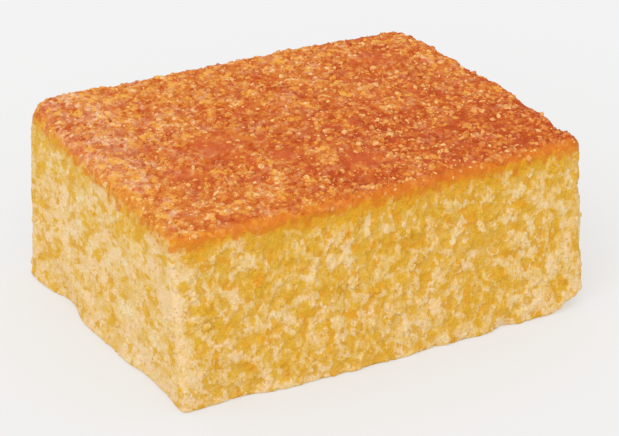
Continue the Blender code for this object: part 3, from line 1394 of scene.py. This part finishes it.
@dataclass
class CrumbBody:
    """The cut walls and the foot: one closed skin that reaches up to the crust's seam.

    The tucks are the hidden rows behind the seam: how far in and how far up each lies. The strips are
    where the walls lie on the flat map, and the corners are where the two hidden parts lie.
    """

    block: Block
    baking: Baking
    across: int = 264
    along: int = 200
    wall_rows: int = 94
    foot_rows: int = 3
    halvings: int = 5
    seam: float = SEAM
    tucks: tuple[Span, ...] = ((0.15 * MM, 0.12 * MM), (1.2 * MM, 0.5 * MM))
    strip_edge: float = 0.01
    strip_width: float = 0.98
    strip_height: float = 0.31
    strip_step: float = 0.33
    top_corner: Span = (0.6, 0.75)
    foot_corner: Span = (0.1, 0.75)

    def __post_init__(self) -> None:
        """Works the surface out: foot edge and walls, torn, then closed off above and below."""
        loop_u, loop_v = self.block.worn(*square_loop(self.across, self.along))
        count = len(loop_u)
        foot = self.block.foot_roll
        turn = np.linspace(0, math.pi / 2, self.foot_rows + 1)
        insets = np.concatenate([foot * (1 - np.sin(turn)), np.zeros(self.wall_rows)])
        walls = np.linspace(foot, self.seam, self.wall_rows + 1)[1:]
        heights = np.concatenate([foot * (1 - np.cos(turn)), walls])
        total = len(insets)
        around = np.tile(loop_u, total), np.tile(loop_v, total)
        u, v = self.block.inset(*around, np.repeat(insets, count))
        z = np.repeat(heights, count)
        rows = np.arange(total * count).reshape(total, count)
        faces = np.vstack([band(lower, upper) for lower, upper in zip(rows, rows[1:])])
        points = self.block.broken(self.block.place(u, v, z))
        self.surface = Surface(points, faces, self.chart(faces, total, count))
        self.baking.bake(self.surface, u, v)
        self.surface.points[rows[0], 2] = self.block.low[2]
        level = self.surface.normals()[rows[-1]] * np.array([1.0, 1.0, 0.0])
        tucks = [-inward * level + np.array([0.0, 0.0, upward]) for inward, upward in self.tucks]
        top, base = self.rings(loop_u, loop_v, self.seam), self.rings(loop_u, loop_v, 0.0)
        self.surface.close(rows[-1], tucks, top, True, self.top_corner)
        self.surface.close(rows[0], [], base, False, self.foot_corner)
        self.surface.crease[rows[0]] = False

    def rings(self, loop_u: Array, loop_v: Array, z: float) -> Arrays:
        """The places of the rings that close the skin off at a height."""
        rings = zip(*cap_rings(loop_u, loop_v, self.halvings))
        return [self.block.place(u, v, np.full(len(u), z)) for u, v in rings]

    def chart(self, faces: Array, rows: int, columns: int) -> Array:
        """Lays the walls out on the flat map as two strips: front and right below, back and left above.

        Args:
            faces: (M, 3) point numbers, row by row.
            rows: rows of points.
            columns: points in a row.

        Returns:
            (M, 3, 2) places on the map. A triangle across the row's end goes on past it.
        """
        row, column = faces // columns, faces % columns
        wraps = column.max(axis=1, keepdims=True) - column.min(axis=1, keepdims=True) > columns // 2
        column = column + columns * (wraps & (column < columns // 2))
        half = columns // 2
        upper = column.min(axis=1, keepdims=True) >= half
        across = self.strip_edge + self.strip_width * ((column - half * upper) / half)
        along = self.strip_edge + self.strip_height * row / (rows - 1) + self.strip_step * upper
        return np.stack([across, along], axis=-1)

    def build(self, finish: BakedFinish) -> bpy.types.Object:
        """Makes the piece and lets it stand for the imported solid.

        Args:
            finish: what it is dressed in.

        Returns:
            The object.
        """
        made = self.surface.piece("crumb", finish.material("crumb"))
        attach(made, BODY)
        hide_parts(NODE)
        return made


@dataclass
class Crust:
    """The browned crust: the top and its rolled rim, down to the seam with the crumb.

    On the flat map the top is a square round the map's middle, each row of the rim goes round it a
    little further out, and what closes the crust off underneath lies in the corner.
    """

    block: Block
    baking: Baking
    across: int = 320
    along: int = 240
    roll_rows: int = 11
    wall_rows: int = 4
    halvings: int = 5
    seam: float = SEAM
    tuck: float = 0.7 * MM
    map_middle: float = 0.49
    map_reach: float = 0.42
    map_row: float = 0.0024
    under_corner: Span = (0.96, 0.96)

    def __post_init__(self) -> None:
        """Works the surface out: the top's grid and the rim's rows, baked, then closed off below."""
        block = self.block
        v_grid, u_grid = np.mgrid[-1 : 1 : (self.along + 1) * 1j, -1 : 1 : (self.across + 1) * 1j]
        worn_u, worn_v = block.worn(u_grid.ravel(), v_grid.ravel())
        roll = block.roll(worn_u, worn_v)
        top_u, top_v = block.inset(worn_u, worn_v, roll)
        index = np.arange(top_u.size).reshape(u_grid.shape)
        edge = np.concatenate([index[0, :-1], index[:-1, -1], index[-1, :0:-1], index[:0:-1, 0]])
        one, two, three, four = index[:-1, :-1], index[:-1, 1:], index[1:, 1:], index[1:, :-1]
        top = np.stack([one, two, three, one, three, four], axis=-1).reshape(-1, 3)

        loop_u, loop_v = worn_u[edge], worn_v[edge]
        insets, heights = self.rim(block.rim_height(loop_u, loop_v), roll[edge])
        total = len(insets)
        rim_u, rim_v = block.inset(np.tile(loop_u, total), np.tile(loop_v, total), insets.ravel())
        u, v = np.concatenate([top_u, rim_u]), np.concatenate([top_v, rim_v])
        z = np.concatenate([block.rim_height(top_u, top_v), heights.ravel()])
        rows = np.vstack([edge, top_u.size + np.arange(total * len(edge)).reshape(total, -1)])
        bands = [band(lower, upper) for upper, lower in zip(rows, rows[1:])]
        faces = np.vstack([top, *bands])
        out = np.concatenate([np.zeros(top_u.size), np.repeat(np.arange(1, total + 1), len(edge))])
        spread = (self.map_reach + self.map_row * out)[:, None]
        chart = (self.map_middle + spread * np.stack([u, v], axis=-1))[faces]
        self.surface = Surface(block.broken(block.place(u, v, z)), faces, chart)
        self.baking.bake(self.surface, u, v)

        level = self.surface.normals()[rows[-1]] * np.array([1.0, 1.0, 0.0])
        rings = zip(*cap_rings(loop_u, loop_v, self.halvings))
        under = [block.place(*ring, np.full(len(ring[0]), self.seam)) for ring in rings]
        self.surface.close(rows[-1], [-self.tuck * level], under, False, self.under_corner)

    def rim(self, height: Array, roll: Array) -> tuple[Array, Array]:
        """The rows of the rim, from the first below the top's edge down to the seam.

        Args:
            height: (N,) the crust's height at each point of the outline.
            roll: (N,) the radius of the rim's roll there.

        Returns:
            (R, N) how far in from the outline each point lies, and its height: a quarter turn of the
            roll's radius, then straight down.
        """
        turns = math.pi / 2 * (1 - np.arange(1, self.roll_rows + 1) / self.roll_rows)[:, None]
        down = (np.arange(1, self.wall_rows + 1) / self.wall_rows)[:, None]
        insets = [roll * (1 - np.cos(turns)), np.zeros((self.wall_rows, len(roll)))]
        heights = [height - roll * (1 - np.sin(turns)), (height - roll) * (1 - down) + self.seam * down]
        return np.vstack(insets), np.vstack(heights)

    def build(self, finish: BakedFinish) -> bpy.types.Object:
        """Makes the piece.

        Args:
            finish: what it is dressed in.

        Returns:
            The object.
        """
        made = self.surface.piece("crust", finish.material("crust"))
        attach(made, BODY)
        return made


@dataclass
class Seeds:
    """Places chosen on a surface: their points, ways out, and the surface's values there."""

    points: Array
    ways: Array
    values: dict[str, Array]

    @classmethod
    def sown(cls, surface: Surface, weight: Array, count: int, order: np.random.Generator) -> "Seeds":
        """Sows places on a surface.

        Args:
            surface: the surface.
            weight: (M,) how likely each triangle is, for its area.
            count: how many places.
            order: the source of random numbers.

        Returns:
            The places: a triangle is drawn by its area and weight, then an even place on it, by the
            root rule for triangles.
        """
        chance = np.linalg.norm(surface.across(), axis=1) * weight
        drawn = order.choice(len(chance), count, p=chance / chance.sum())
        root, share = np.sqrt(order.random(count)), order.random(count)
        parts = np.stack([1 - root, root * (1 - share), root * share], axis=-1)
        corners = surface.faces[drawn]
        points = (surface.points[corners] * parts[..., None]).sum(axis=1)
        ways = unit((surface.normals()[corners] * parts[..., None]).sum(axis=1))
        values = {key: (value[corners] * parts).sum(axis=1) for key, value in surface.values.items()}
        return cls(points, ways, values)


@dataclass(frozen=True)
class Lumps:
    """Many small irregular lumps, half sunk in a surface.

    Each is a ball of 8 triangles, every one split in fineness x fineness. The ball is a square sheet
    of (2 fineness + 1) rows whose four corners fold down under it, which gives it its own flat map.
    How flat and how proud of the surface it is count in its own radius.
    """

    flatness: float
    proud: float
    unevenness: float
    grain: float
    fineness: int = 2
    stretch: Span = (0.6, 1.4)
    map_inset: float = 0.06
    map_share: float = 0.88

    def ball(self) -> tuple[Array, Array, Array]:
        """The ball of size one.

        Returns:
            Points, triangles, and each triangle corner's place on the sheet from 0 to 1. A place with
            |x| + |y| above 1 folds under, to 1 - |y| and 1 - |x|; z is 1 - |x| - |y| before the fold.
        """
        side = np.linspace(-1, 1, 2 * self.fineness + 1)
        y, x = (grid.ravel() for grid in np.meshgrid(side, side, indexing="ij"))
        height = 1 - np.abs(x) - np.abs(y)
        under = height < -STRAY
        signs = np.where(x >= 0, 1, -1), np.where(y >= 0, 1, -1)
        fold_x = np.where(under, signs[0] * (1 - np.abs(y)), x)
        fold_y = np.where(under, signs[1] * (1 - np.abs(x)), y)
        ways = unit(np.stack([fold_x, fold_y, height], axis=-1))
        width = len(side)
        row, column = (grid.ravel() for grid in np.mgrid[0 : width - 1, 0 : width - 1])
        a, b = row * width + column, row * width + column + 1
        c, d = a + width + 1, a + width
        rising = (row < self.fineness) == (column < self.fineness)
        first = np.where(rising[:, None], np.stack([a, b, d], axis=-1), np.stack([a, b, c], axis=-1))
        second = np.where(rising[:, None], np.stack([b, c, d], axis=-1), np.stack([a, c, d], axis=-1))
        faces = np.vstack([first, second])
        sheet = (np.stack([x, y], axis=-1) + 1) / 2
        points, same = np.unique(np.round(ways, 6), axis=0, return_inverse=True)
        return points, same.reshape(-1)[faces], sheet[faces]

    def surface(self, seeds: Seeds, radius: Array, order: np.random.Generator) -> Surface:
        """All the lumps as one surface.

        Args:
            seeds: where they sit.
            radius: (N,) their sizes.
            order: the source of random numbers.

        Returns:
            The surface. Each ball is stretched unevenly, flattened along the surface's way out, and
            pushed in and out by a smooth noise.
        """
        ball, faces, sheet = self.ball()
        count = len(radius)
        across = unit(np.cross(seeds.ways, order.normal(size=(count, 3))))
        along = np.cross(seeds.ways, across)
        axes = np.stack([across, along, seeds.ways], axis=1)
        stretch = order.uniform(*self.stretch, (count, 3)) * np.array([1.0, 1.0, self.flatness])
        local = ball[None] * (radius[:, None] * stretch)[:, None]
        points = np.einsum("nvk,nkx->nvx", local, axes)
        points += (seeds.points + seeds.ways * (radius * self.proud)[:, None])[:, None]
        spread = points - seeds.points[:, None]
        rough = Noise(41).smooth(points.reshape(-1, 3), self.grain).reshape(count, -1, 1)
        points = seeds.points[:, None] + spread * (1 + self.unevenness * rough)
        cells = math.ceil(math.sqrt(count))
        number = np.arange(count)
        cell = np.stack([number % cells, number // cells], axis=-1)[:, None, None]
        chart = (cell + self.map_inset + self.map_share * sheet[None]) / cells
        joined = (faces[None] + (number * len(ball))[:, None, None]).reshape(-1, 3)
        values = {key: np.repeat(value, len(ball)) for key, value in seeds.values.items()}
        return Surface(points.reshape(-1, 3), joined, chart.reshape(-1, 3, 2), values)


@dataclass(frozen=True)
class Scatter:
    """How many lumps there are and how large, and the seed that all their random numbers come from."""

    seed: int
    count: int
    smallest: float
    largest: float
    power: float

    def radii(self, order: np.random.Generator) -> Array:
        """Radii from the smallest to the largest, small ones most often: a random share to a power."""
        return self.smallest + (self.largest - self.smallest) * order.random(self.count) ** self.power


@dataclass
class CrumbClumps:
    """The knobs of torn crumb that stand on the pale tufts of the walls."""

    body: CrumbBody
    baking: Baking
    scatter: Scatter = Scatter(51, 3200, 0.26 * MM, 0.70 * MM, 2.2)
    lumps: Lumps = Lumps(flatness=0.5, proud=-0.2, unevenness=0.6, grain=0.9 * MM)
    tuft_swing: float = 0.3
    clear_foot: float = 0.5 * MM
    steepest_way: float = 1.9

    def weight(self) -> Array:
        """How likely a clump is on each triangle of the walls.

        Returns:
            (M,) values: high on tufts, low under the crust, half on the left side, and none at the foot
            or where the skin faces more up or down than out.
        """
        skin = self.body.surface
        out = skin.across()
        weight = smoothstep(0.0, 0.8, skin.mean("tuft")) * (1 - 0.9 * skin.mean("warm")) + 0.02
        weight *= 1 - 0.5 * np.clip(-unit(out)[:, 0], 0, 1)
        middle = skin.points[skin.faces].mean(axis=1)
        weight *= middle[:, 2] > self.body.block.low[2] + self.clear_foot
        return weight * (np.abs(out[:, 2]) < self.steepest_way * np.linalg.norm(out[:, :2], axis=1))

    def build(self, finish: BakedFinish) -> bpy.types.Object:
        """Makes the piece: each clump is a little paler or deeper than the tuft that it stands on.

        Args:
            finish: what it is dressed in.

        Returns:
            The object.
        """
        order = np.random.default_rng(self.scatter.seed)
        seeds = Seeds.sown(self.body.surface, self.weight(), self.scatter.count, order)
        radius = self.scatter.radii(order)
        seeds.values["tuft"] += order.normal(0.0, self.tuft_swing, self.scatter.count)
        surface = self.lumps.surface(seeds, radius, order)
        surface.points[:, 2] = np.maximum(surface.points[:, 2], self.body.block.low[2])
        surface.values |= self.baking.pattern_places(surface.points)
        made = surface.piece("crumb_clumps", finish.material("crumb_clumps"))
        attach(made, BODY)
        return made


@dataclass
class CrustCrumbs:
    """The crumbly flakes that the crust's surface breaks up into."""

    crust: Crust
    baking: Baking
    scatter: Scatter = Scatter(71, 5200, 0.26 * MM, 0.75 * MM, 2.2)
    lumps: Lumps = Lumps(flatness=0.6, proud=-0.2, unevenness=0.7, grain=0.6 * MM)
    tone: float = 0.04
    tone_swing: float = 0.15

    def weight(self) -> Array:
        """How likely a flake is on each triangle of the crust.

        Returns:
            (M,) values: high where it has browned and faces up, lower near the front rim and where the
            crust is bare.
        """
        skin = self.crust.surface
        facing = np.clip(1.5 * unit(skin.across())[:, 2] + 0.2, 0, 1)
        weight = smoothstep(0.55, 0.98, skin.mean("browned")) * facing
        return weight * (1 - 0.5 * skin.mean("rim")) * (1 - 0.7 * skin.mean("bare"))

    def build(self, finish: BakedFinish) -> bpy.types.Object:
        """Makes the piece: each flake has its own tone, and those on the rim's slope are smaller.

        Args:
            finish: what it is dressed in.

        Returns:
            The object.
        """
        order = np.random.default_rng(self.scatter.seed)
        seeds = Seeds.sown(self.crust.surface, self.weight(), self.scatter.count, order)
        radius = self.scatter.radii(order) * (0.6 + 0.4 * np.clip(seeds.ways[:, 2], 0, 1))
        seeds.values["tone"] = order.normal(self.tone, self.tone_swing, self.scatter.count)
        surface = self.lumps.surface(seeds, radius, order)
        surface.values |= self.baking.pattern_places(surface.points)
        made = surface.piece("crust_crumbs", finish.material("crust_crumbs"))
        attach(made, BODY)
        return made


@dataclass
class MealGrains:
    """The grains of meal that stand on the crust."""

    crust: Crust
    scatter: Scatter = Scatter(61, 2800, 0.20 * MM, 0.72 * MM, 2.6)
    lumps: Lumps = Lumps(flatness=0.7, proud=-0.1, unevenness=0.9, grain=0.6 * MM)
    clusters: Grain = Grain(62, 6.0)

    def weight(self) -> Array:
        """How likely a grain is on each triangle of the crust.

        Returns:
            (M,) values: high in loose clusters, more of them towards the right, where the crust has
            browned and faces up, and low where it is bare.
        """
        skin = self.crust.surface
        middle = skin.points[skin.faces].mean(axis=1)
        gathered = smoothstep(-0.5, 0.9, self.clusters.at(middle))
        gathered *= 0.45 + 0.55 * smoothstep(-0.3, 0.7, middle[:, 0] / self.crust.block.half[0])
        facing = np.clip(unit(skin.across())[:, 2], 0, 1) ** 2
        return (0.2 + gathered) * facing * skin.mean("browned") * (1 - 0.8 * skin.mean("bare"))

    def build(self, finish: MealFinish) -> bpy.types.Object:
        """Makes the piece: each grain has a tone of its own.

        Args:
            finish: what it is dressed in.

        Returns:
            The object.
        """
        order = np.random.default_rng(self.scatter.seed)
        seeds = Seeds.sown(self.crust.surface, self.weight(), self.scatter.count, order)
        radius = self.scatter.radii(order)
        seeds.values = {"tone": order.random(self.scatter.count)}
        surface = self.lumps.surface(seeds, radius, order)
        made = surface.piece("meal_grains", finish.material("meal_grains"))
        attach(made, BODY)
        return made


# ---------------------------------------------------------------------------------------------------
# The studio


@dataclass
class Studio:
    """The pale floor, the soft lights and the camera. Azimuths go round from the front to the right."""

    azimuth: float = -29.32
    elevation: float = 26.0
    distance: float = 475.2 * MM
    aim: Sizes = (1.43 * MM, 0.0, 14.74 * MM)
    lens: float = 139.58
    nearest: float = 0.01
    farthest: float = 100.0
    floor_reach: float = 30.0
    surroundings: float = 0.887

    def floor(self) -> bpy.types.Object:
        """A wide level sheet at the foot of the piece.

        Returns:
            The object: it is not a part of the piece.
        """
        reach = self.floor_reach
        corners = [(-reach, -reach, 0), (reach, -reach, 0), (reach, reach, 0), (-reach, reach, 0)]
        mesh = bpy.data.meshes.new("floor")
        mesh.from_pydata(corners, [], [(0, 1, 2, 3)])
        mesh.materials.append(FloorFinish().material())
        made = placed("floor", mesh)
        return made

    @staticmethod
    def back(azimuth: float, elevation: float) -> Vector:
        """The way from the piece towards a place round it.

        Args:
            azimuth: degrees round, from the front.
            elevation: degrees up.

        Returns:
            The way, of length one.
        """
        turn, rise = math.radians(azimuth), math.radians(elevation)
        level = math.cos(rise)
        return Vector((math.sin(turn) * level, -math.cos(turn) * level, math.sin(rise)))

    def camera(self) -> bpy.types.Object:
        """A long lens, looking down at the near corner.

        Returns:
            The camera, which is made the scene's own.
        """
        data = bpy.data.cameras.new("camera")
        data.lens = self.lens
        data.clip_start, data.clip_end = self.nearest, self.farthest
        made = placed("camera", data)
        way = self.back(self.azimuth, self.elevation)
        made.location = Vector(self.aim) + way * self.distance
        made.rotation_euler = (-way).to_track_quat("-Z", "Y").to_euler()
        bpy.context.scene.camera = made
        return made

    def light(self, name: str, azimuth: float, elevation: float, spread: float, strength: float) -> None:
        """A broad distant light, which is even over the whole floor.

        Args:
            name: its name.
            azimuth: degrees round the piece, from the front.
            elevation: degrees above the floor.
            spread: how wide it looks from the piece, in degrees. A wide light gives soft shadows.
            strength: the light that a white sheet facing it sends back.
        """
        data = bpy.data.lights.new(name, "SUN")
        data.angle = math.radians(spread)
        data.energy = strength * math.pi
        made = placed(name, data)
        made.rotation_euler = (-self.back(azimuth, elevation)).to_track_quat("-Z", "Y").to_euler()

    def build(self) -> None:
        """Makes the floor, the camera, the key light and the even light all round."""
        self.floor()
        self.camera()
        self.light("key", azimuth=-45.0, elevation=40.0, spread=60.0, strength=0.42)
        world = bpy.data.worlds.new("soft_room")
        world.use_nodes = True
        background = world.node_tree.nodes["Background"]
        background.inputs["Color"].default_value = (*WHITE, 1.0)
        background.inputs["Strength"].default_value = self.surroundings
        bpy.context.scene.world = world
        bpy.context.scene.view_settings.view_transform = "Standard"


def main() -> None:
    """Builds the studio and the piece."""
    logging.basicConfig(level=logging.INFO, format="%(name)s: %(message)s")
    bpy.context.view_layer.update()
    low, high = (np.array(corner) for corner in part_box(NODE))
    block = Block(low, high)
    baking = Baking(block)
    finish = BakedFinish()
    Studio().build()
    body = CrumbBody(block, baking)
    crust = Crust(block, baking)
    pieces = [body.build(finish), crust.build(finish), CrumbClumps(body, baking).build(finish)]
    pieces += [CrustCrumbs(crust, baking).build(finish), MealGrains(crust).build(MealFinish())]
    for made in pieces:
        log.info("%s: %d triangles", made.name, len(made.data.polygons))


if __name__ == "__main__":
    main()
